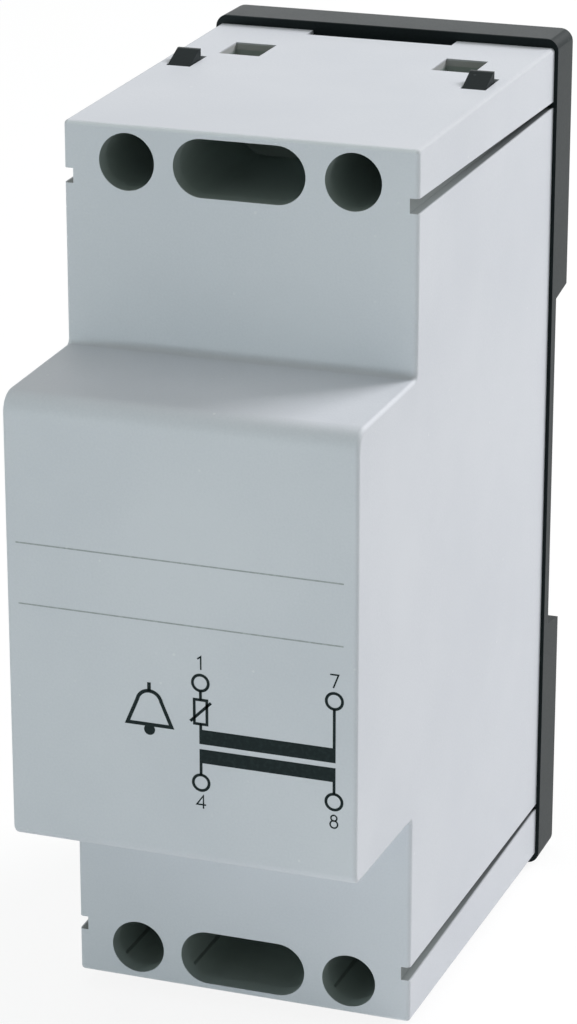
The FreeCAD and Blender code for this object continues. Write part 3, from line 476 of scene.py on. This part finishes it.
# Sleeves of the leads
SLEEVE_LINES = (3.0, 3.0, 0.25)
SLEEVE_ROUGHNESS = 0.38
SLEEVE_DEPTH = 0.02
BLOOM_PATCHES = (0.45, 0.7)
BLOOM_ROUGHNESS = 0.25


def sleeved(name, dark, light):
    """A soft extruded sleeve with a dull bloom."""
    material, point = new_material(name)
    drawn = point.stretch(*SLEEVE_LINES).noise(scale=1.0, detail=3.0)
    bloom = point.noise(scale=1.1, detail=4.0).ramp(*BLOOM_PATCHES)
    colour = drawn.ramp(*MID_TONES).mix(dark, light)
    rough = SLEEVE_ROUGHNESS + bloom * BLOOM_ROUGHNESS
    shade(point, colour, rough, drawn.bump(SLEEVE_DEPTH), Specular_IOR_Level=0.4)
    return material


# Printing ink
INK_COVER = (0.42, 0.72)
INK_ROUGHNESS = 0.5
INK_GAP_ROUGHNESS = 0.2
INK_RELIEF = 0.004


def inked(name, dark, light):
    """Pad-printed ink: a thin coat with small gaps in its cover."""
    material, point = new_material(name)
    thin = point.noise(scale=2.2, detail=4.0)
    colour = thin.ramp(*INK_COVER).mix(dark, light)
    rough = INK_ROUGHNESS + thin * INK_GAP_ROUGHNESS
    shade(point, colour, rough, thin.bump(INK_RELIEF), Specular_IOR_Level=0.15)
    return material


# The object's finishes
hood_finish = moulded(
    "hood_plastic", dark=rgb(0.625, 0.645, 0.697), light=rgb(0.680, 0.697, 0.745),
    speck=rgb(0.80, 0.81, 0.83), roughness=0.52, specular=0.36, places=over_hood,
)
base_finish = moulded(
    "base_plastic", dark=rgb(0.004, 0.008, 0.009), light=rgb(0.010, 0.016, 0.017),
    speck=rgb(0.08, 0.09, 0.095), roughness=0.5, specular=0.1, places=over_base,
)
guide_finish = moulded(
    "guide_plastic", dark=rgb(0.310, 0.365, 0.350), light=rgb(0.360, 0.420, 0.405),
    speck=rgb(0.45, 0.50, 0.49), roughness=0.6,
)
bobbin_finish = moulded(
    "bobbin_plastic", dark=rgb(0.60, 0.56, 0.44), light=rgb(0.76, 0.72, 0.60),
    speck=rgb(0.86, 0.84, 0.76), roughness=0.48,
)
spring_finish = plated(
    "spring_steel", dark=rgb(0.42, 0.42, 0.43), light=rgb(0.62, 0.62, 0.63),
    tint=rgb(0.50, 0.47, 0.42), roughness=0.3, lines=(5.0, 5.0, 1.5),
)
screw_finish = plated(
    "screw_steel", dark=rgb(0.50, 0.50, 0.48), light=rgb(0.70, 0.70, 0.67),
    tint=rgb(0.62, 0.56, 0.36), roughness=0.34, lines=(4.0, 0.8, 4.0),
)
cage_finish = plated(
    "cage_steel", dark=rgb(0.44, 0.44, 0.43), light=rgb(0.64, 0.64, 0.62),
    tint=rgb(0.56, 0.54, 0.47), roughness=0.36, lines=(6.0, 6.0, 0.8),
)
brass_finish = plated(
    "contact_brass", dark=rgb(0.56, 0.44, 0.20), light=rgb(0.78, 0.66, 0.36),
    tint=rgb(0.45, 0.30, 0.14), roughness=0.32, lines=(7.0, 7.0, 0.6),
)
core_finish = laminated("core_steel", pitch=0.5)
fine_wire = wound("enamelled_wire", pitch=0.22, dark=rgb(0.34, 0.11, 0.045), light=rgb(0.60, 0.24, 0.10))
thick_wire = wound(
    "enamelled_wire_thick", pitch=0.62, dark=rgb(0.38, 0.13, 0.05), light=rgb(0.66, 0.28, 0.12)
)
film_finish = wrapped("wrap_film")
disc_finish = dipped("thermistor_coating", dark=rgb(0.50, 0.34, 0.05), light=rgb(0.76, 0.56, 0.12))
red_sleeve = sleeved("lead_sleeve", dark=rgb(0.40, 0.035, 0.025), light=rgb(0.62, 0.085, 0.06))
blue_sleeve = sleeved("lead_sleeve_blue", dark=rgb(0.03, 0.07, 0.24), light=rgb(0.06, 0.13, 0.38))
black_ink = inked("print_black", dark=rgb(0.004, 0.011, 0.012), light=rgb(0.012, 0.022, 0.023))
grey_ink = inked("print_grey", dark=rgb(0.36, 0.385, 0.395), light=rgb(0.46, 0.485, 0.50))

# The finish of each node, by the start of its name
FINISHES = {
    "housing_hood": hood_finish,
    "rear_base": base_finish,
    "rail_slide": base_finish,
    "slide_spring": spring_finish,
    "terminal_block": guide_finish,
    "terminal_screw": screw_finish,
    "terminal_cage": cage_finish,
    "contact_bar": brass_finish,
    "core": core_finish,
    "bobbin": bobbin_finish,
    "primary_winding": fine_wire,
    "secondary_winding": thick_wire,
    "primary_tape": film_finish,
    "secondary_tape": film_finish,
    "thermistor": disc_finish,
    "primary_lead": red_sleeve,
    "secondary_lead": blue_sleeve,
}

for name, node in frame["nodes"].items():
    start = next(start for start in FINISHES if name.startswith(start))
    for slot in node.material_slots:
        slot.material = FINISHES[start]

# The print on the nose, in millimetres across and up from the middle of the face
INK_HEIGHT = 0.012
PRINT_PLANE = hood_low.y - INK_HEIGHT * MM
LINE_WIDTH = 0.13
WIRE_WIDTH = 0.28
BELL_WIDTH = 0.36
DIGIT_WIDTH = 0.15
DIGIT_HEIGHT = 1.3
ARC_STEPS = 32
MITRE_LIMIT = 0.4

RULE_LINES = [((-16.15, 7.72), (15.85, 7.62)), ((-16.0, 1.72), (15.85, 1.6))]
LEFT_WIRE = 2.0
RIGHT_WIRE = 15.0
RING_RADIUS = 0.78
TOP_RING = -3.82
BOTTOM_RING = -13.78
UPPER_BAR = (-8.45, -9.9)
LOWER_BAR = (-10.4, -11.8)
RESISTOR = (-5.5, -7.9)
RESISTOR_HALF = 0.62
SLASH = 1.02
DIGIT_GAP = 1.95
BELL_PLACE = -3.08
BELL_TOP = -5.3
BELL_BASE = -8.65
BELL_STEM = 0.85
BELL_SHOULDER = (1.18, -6.25)
BELL_HALF = 2.2
CLAPPER = 0.55
CLAPPER_DROP = 0.5

# The terminal numbers as strokes, in a box one unit high about its middle
ONE = [(-0.22, 0.3), (0.04, 0.5), (0.04, -0.5)]
FOUR = [(0.16, -0.5), (0.16, 0.5), (-0.34, -0.2), (0.36, -0.2)]
SEVEN = [(-0.32, 0.5), (0.3, 0.5), (-0.08, -0.5)]
EIGHT_UPPER = (0.26, 0.22)
EIGHT_LOWER = (-0.22, 0.28)


def new_piece(name, shape, finish):
    """An object with one finish, made from a bmesh."""
    mesh = bpy.data.meshes.new(name)
    shape.to_mesh(mesh)
    shape.free()
    mesh.materials.append(finish)
    piece = bpy.data.objects.new(name, mesh)
    bpy.context.collection.objects.link(piece)
    return piece


def arc(x, z, radius, start, end):
    """Points of an arc, with its angles in degrees from the right."""
    turns = [math.radians(start + (end - start) * i / ARC_STEPS) for i in range(ARC_STEPS + 1)]
    return [(x + radius * math.cos(turn), z + radius * math.sin(turn)) for turn in turns]


def circle(x, z, radius):
    """Points round a circle, each once."""
    return arc(x, z, radius, 0, 360)[:-1]


def on_face(x, z):
    return Vector((x * MM, PRINT_PLANE, z * MM))


def side_of(a, b):
    """Unit vector to the left of the way from a to b."""
    along = Vector((b[0] - a[0], b[1] - a[1])).normalized()
    return Vector((-along.y, along.x))


def stroke(sheet, points, width, closed=False):
    """A line of even width with mitred corners."""
    count = len(points)
    edges = []
    for i, point in enumerate(points):
        before = points[i - 1] if closed or i > 0 else None
        after = points[(i + 1) % count] if closed or i < count - 1 else None
        sides = []
        if before:
            sides.append(side_of(before, point))
        if after:
            sides.append(side_of(point, after))
        middle = sum(sides, Vector((0, 0))).normalized()
        reach = middle * (width / 2 / max(middle.dot(sides[0]), MITRE_LIMIT))
        left = sheet.verts.new(on_face(point[0] + reach.x, point[1] + reach.y))
        right = sheet.verts.new(on_face(point[0] - reach.x, point[1] - reach.y))
        edges.append((left, right))
    for i in range(count if closed else count - 1):
        left, right = edges[i]
        next_left, next_right = edges[(i + 1) % count]
        sheet.faces.new((right, next_right, next_left, left))


def patch(sheet, points):
    """A filled outline, its points in turn against the clock as seen from the front."""
    sheet.faces.new([sheet.verts.new(on_face(x, z)) for x, z in points])


def printed(name, ink, draw):
    """A piece of print on the nose."""
    sheet = bmesh.new()
    draw(sheet)
    piece = new_piece(name, sheet, ink)
    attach(piece, "housing")


def draw_rules(sheet):
    for start, end in RULE_LINES:
        stroke(sheet, [start, end], LINE_WIDTH)


def draw_wire(sheet, x, start, end):
    stroke(sheet, [(x, start), (x, end)], WIRE_WIDTH)


def draw_resistor(sheet):
    """The protector: a frame with a slash across it."""
    top, bottom = RESISTOR
    low_x = LEFT_WIRE - RESISTOR_HALF
    high_x = LEFT_WIRE + RESISTOR_HALF
    outline = [(low_x, bottom), (high_x, bottom), (high_x, top), (low_x, top)]
    stroke(sheet, outline, WIRE_WIDTH, closed=True)
    middle = (top + bottom) / 2
    slash = [(LEFT_WIRE - SLASH, middle - SLASH), (LEFT_WIRE + SLASH, middle + SLASH)]
    stroke(sheet, slash, WIRE_WIDTH)


def draw_diagram(sheet):
    """Two windings as bars, a lead to each terminal and the protector in the first lead."""
    for x in (LEFT_WIRE, RIGHT_WIRE):
        for z in (TOP_RING, BOTTOM_RING):
            stroke(sheet, circle(x, z, RING_RADIUS), WIRE_WIDTH, closed=True)
        draw_wire(sheet, x, BOTTOM_RING + RING_RADIUS, LOWER_BAR[1])
    draw_wire(sheet, RIGHT_WIRE, TOP_RING - RING_RADIUS, UPPER_BAR[0])
    draw_wire(sheet, LEFT_WIRE, TOP_RING - RING_RADIUS, RESISTOR[0])
    draw_wire(sheet, LEFT_WIRE, RESISTOR[1], UPPER_BAR[0])
    draw_resistor(sheet)
    left = LEFT_WIRE - WIRE_WIDTH / 2
    right = RIGHT_WIRE + WIRE_WIDTH / 2
    for top, bottom in (UPPER_BAR, LOWER_BAR):
        patch(sheet, [(left, bottom), (right, bottom), (right, top), (left, top)])


def draw_bell(sheet):
    """The outline of a bell with its stem and clapper."""
    half, level = BELL_SHOULDER
    rise = BELL_TOP - level
    radius = (half ** 2 + rise ** 2) / (2 * rise)
    swing = math.degrees(math.asin(half / radius))
    dome = arc(BELL_PLACE, BELL_TOP - radius, radius, 90 - swing, 90 + swing)
    base = [(BELL_PLACE - BELL_HALF, BELL_BASE), (BELL_PLACE + BELL_HALF, BELL_BASE)]
    stroke(sheet, base + dome, BELL_WIDTH, closed=True)
    stroke(sheet, [(BELL_PLACE, BELL_TOP), (BELL_PLACE, BELL_TOP + BELL_STEM)], BELL_WIDTH)
    lift = math.degrees(math.asin((CLAPPER_DROP - BELL_WIDTH / 2) / CLAPPER))
    patch(sheet, arc(BELL_PLACE, BELL_BASE - CLAPPER_DROP, CLAPPER, 180 - lift, 360 + lift))


def draw_digit(sheet, x, z, line, closed=False):
    points = [(x + u * DIGIT_HEIGHT, z + v * DIGIT_HEIGHT) for u, v in line]
    stroke(sheet, points, DIGIT_WIDTH, closed)


def draw_numbers(sheet):
    """The four terminal numbers, two above the diagram and two below."""
    upper = TOP_RING + DIGIT_GAP
    lower = BOTTOM_RING - DIGIT_GAP
    draw_digit(sheet, LEFT_WIRE, upper, ONE)
    draw_digit(sheet, RIGHT_WIRE, upper, SEVEN)
    draw_digit(sheet, LEFT_WIRE, lower, FOUR)
    for middle, radius in (EIGHT_UPPER, EIGHT_LOWER):
        draw_digit(sheet, RIGHT_WIRE, lower, circle(0, middle, radius), closed=True)


printed("print_rules", grey_ink, draw_rules)
printed("print_diagram", black_ink, draw_diagram)
printed("print_bell", black_ink, draw_bell)
printed("print_numbers", black_ink, draw_numbers)

# The spring of the rail catch: the closed pitch is in wire thicknesses
SPRING_WIRE = 0.4 * MM
SPRING_MARGIN = 0.02 * MM
SPRING_TURNS = 6.0
CLOSED_TURNS = 0.8
CLOSED_PITCH = 1.1
STEPS_PER_TURN = 28
WIRE_SIDES = 10


def spring_rise(turn, height):
    """Height of the wire's middle after some turns: the ends are closed and the rest is open."""
    closed = CLOSED_TURNS * CLOSED_PITCH * SPRING_WIRE
    open_turns = SPRING_TURNS - 2 * CLOSED_TURNS
    if turn < CLOSED_TURNS:
        return closed * turn / CLOSED_TURNS
    if turn > SPRING_TURNS - CLOSED_TURNS:
        return height - closed * (SPRING_TURNS - turn) / CLOSED_TURNS
    return closed + (height - 2 * closed) * (turn - CLOSED_TURNS) / open_turns


def spring_line(foot, radius, height):
    """Points along the middle of the wire, each with the way out from the spring's axis."""
    line = []
    for i in range(round(SPRING_TURNS * STEPS_PER_TURN) + 1):
        angle = 2 * math.pi * i / STEPS_PER_TURN
        out = Vector((math.cos(angle), math.sin(angle), 0))
        rise = Vector((0, 0, spring_rise(i / STEPS_PER_TURN, height)))
        line.append((foot + rise + out * radius, out))
    return line


def round_wire(line):
    """A closed tube round the points of a spring's line."""
    turns = [2 * math.pi * k / WIRE_SIDES for k in range(WIRE_SIDES)]
    last = len(line) - 1
    coil = bmesh.new()
    rings = []
    for i, (middle, out) in enumerate(line):
        along = line[min(i + 1, last)][0] - line[max(i - 1, 0)][0]
        across = along.normalized().cross(out).normalized()
        spots = [middle + (out * math.cos(t) + across * math.sin(t)) * (SPRING_WIRE / 2) for t in turns]
        rings.append([coil.verts.new(spot) for spot in spots])
    for first, second in zip(rings, rings[1:]):
        for k in range(WIRE_SIDES):
            after = (k + 1) % WIRE_SIDES
            coil.faces.new((first[k], first[after], second[after], second[k])).smooth = True
    coil.faces.new(reversed(rings[0]))
    coil.faces.new(rings[-1])
    bmesh.ops.recalc_face_normals(coil, faces=coil.faces)
    return coil


def add_spring():
    """A coil of round wire in place of the spring node, on the housing."""
    low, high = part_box("slide_spring")
    axis = (low + high) / 2
    radius = (high.x - low.x) / 2 - SPRING_WIRE / 2
    foot = Vector((axis.x, axis.y, low.z + SPRING_MARGIN + SPRING_WIRE / 2))
    height = high.z - SPRING_MARGIN - SPRING_WIRE / 2 - foot.z
    spring = new_piece("spring_coil", round_wire(spring_line(foot, radius, height)), spring_finish)
    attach(spring, "housing")
    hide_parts("slide_spring")
    catch = next(joint for joint in frame["joints"] if joint["name"] == "catch_slide")
    travel = catch["range_m"][1]
    keep = 1 - travel / (high.z - low.z)
    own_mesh(spring)


add_spring()

# Studio, in metres and watts: lamps are placed from the middle of the object's foot
WHITE = rgb(1.0, 1.0, 1.0)
FLOOR_DROP = 0.0003
FLOOR_SIZE = 6.0
FLOOR_PALE = rgb(0.86, 0.86, 0.87)
FLOOR_GLOW = 1.04
FLOOR_GLOW_SHARE = 0.85
AMBIENT = rgb(0.915, 1.0, 0.92)
AMBIENT_STRENGTH = 0.295
LAMP_AIM = Vector((0, 0, 0.045))
LAMPS = {
    "key": {"place": (0.45, 0.56, 0.59), "size": (0.4, 0.4), "power": 6.4, "colour": (1.0, 0.985, 1.0)},
    "top": {"place": (0.0, 0.1, 0.9), "size": (0.5, 0.5), "power": 1.55, "colour": (0.97, 0.97, 1.0)},
    "fill": {"place": (-0.25, -0.8, 0.03), "size": (0.5, 0.05), "power": 1.7, "colour": (0.85, 0.98, 1.0)},
}

# The photograph's camera: its place in millimetres, the way back from the object and the way to its right
CAMERA_PLACE = Vector((114.87, -351.0, 124.18))
CAMERA_BACK = Vector((0.31775, -0.8866, 0.33611))
CAMERA_RIGHT = Vector((0.94138, 0.33735, 0.0))
CAMERA_LENS = 129.2
CAMERA_SENSOR = 36.0
CAMERA_NEAR = 0.01


def background_seen(tree):
    """1 where the background is seen: by the camera, in a gloss or through a clear piece."""
    rays = tree.nodes.new("ShaderNodeLightPath").outputs
    direct = Signal(tree, rays["Is Camera Ray"])
    in_gloss = Signal(tree, rays["Is Glossy Ray"])
    through = Signal(tree, rays["Is Transmission Ray"])
    return direct.larger(in_gloss).larger(through)


def add_floor():
    """A pale floor that shows the shadow softly and is near white where it is seen."""
    material = bpy.data.materials.new("studio_floor")
    material.use_nodes = True
    tree = material.node_tree
    tree.nodes.clear()
    seen = background_seen(tree)
    matte = seen.node("ShaderNodeBsdfDiffuse", {"Color": FLOOR_PALE})
    glow = seen.node("ShaderNodeEmission", {"Color": WHITE, "Strength": FLOOR_GLOW})
    surface = seen.node("ShaderNodeMixShader", {0: seen * FLOOR_GLOW_SHARE, 1: matte, 2: glow})
    seen.node("ShaderNodeOutputMaterial", {"Surface": surface})
    half = FLOOR_SIZE / 2
    level = cad_box[0].z - FLOOR_DROP
    mesh = bpy.data.meshes.new("floor")
    corners = [(-half, -half, level), (half, -half, level), (half, half, level), (-half, half, level)]
    mesh.from_pydata(corners, [], [(0, 1, 2, 3)])
    mesh.materials.append(material)
    floor = bpy.data.objects.new("floor", mesh)
    bpy.context.collection.objects.link(floor)


def add_world():
    """Even light all round, and white where the background is seen."""
    world = bpy.data.worlds.new("studio")
    world.use_nodes = True
    tree = world.node_tree
    tree.nodes.clear()
    seen = background_seen(tree)
    dim = seen.node("ShaderNodeBackground", {"Color": AMBIENT, "Strength": AMBIENT_STRENGTH})
    white = seen.node("ShaderNodeBackground", {"Color": WHITE, "Strength": 1.0})
    surface = seen.node("ShaderNodeMixShader", {0: seen, 1: dim, 2: white})
    seen.node("ShaderNodeOutputWorld", {"Surface": surface})
    bpy.context.scene.world = world


def add_lamp(name, place, size, power, colour):
    """A soft box that looks at the middle of the object."""
    middle = (cad_box[0] + cad_box[1]) / 2
    foot = Vector((middle.x, middle.y, cad_box[0].z))
    lamp = bpy.data.lights.new(name, "AREA")
    lamp.shape = "RECTANGLE"
    lamp.size, lamp.size_y = size
    lamp.energy = power
    lamp.color = colour
    holder = bpy.data.objects.new(name, lamp)
    holder.location = foot + Vector(place)
    outward = Vector(place) - LAMP_AIM
    holder.rotation_euler = outward.to_track_quat("Z", "Y").to_euler()
    bpy.context.collection.objects.link(holder)


def add_camera():
    """The photograph's camera."""
    data = bpy.data.cameras.new("camera")
    data.lens = CAMERA_LENS
    data.sensor_width = CAMERA_SENSOR
    data.clip_start = CAMERA_NEAR
    camera = bpy.data.objects.new("camera", data)
    back = CAMERA_BACK.normalized()
    right = CAMERA_RIGHT.normalized()
    up = back.cross(right)
    turn = Matrix((right, up, back)).transposed().to_4x4()
    camera.matrix_world = Matrix.Translation(CAMERA_PLACE * MM) @ turn
    bpy.context.collection.objects.link(camera)
    bpy.context.scene.camera = camera


add_floor()
add_world()
for name, lamp in LAMPS.items():
    add_lamp(name, **lamp)
add_camera()
bpy.context.scene.view_settings.view_transform = "Standard"
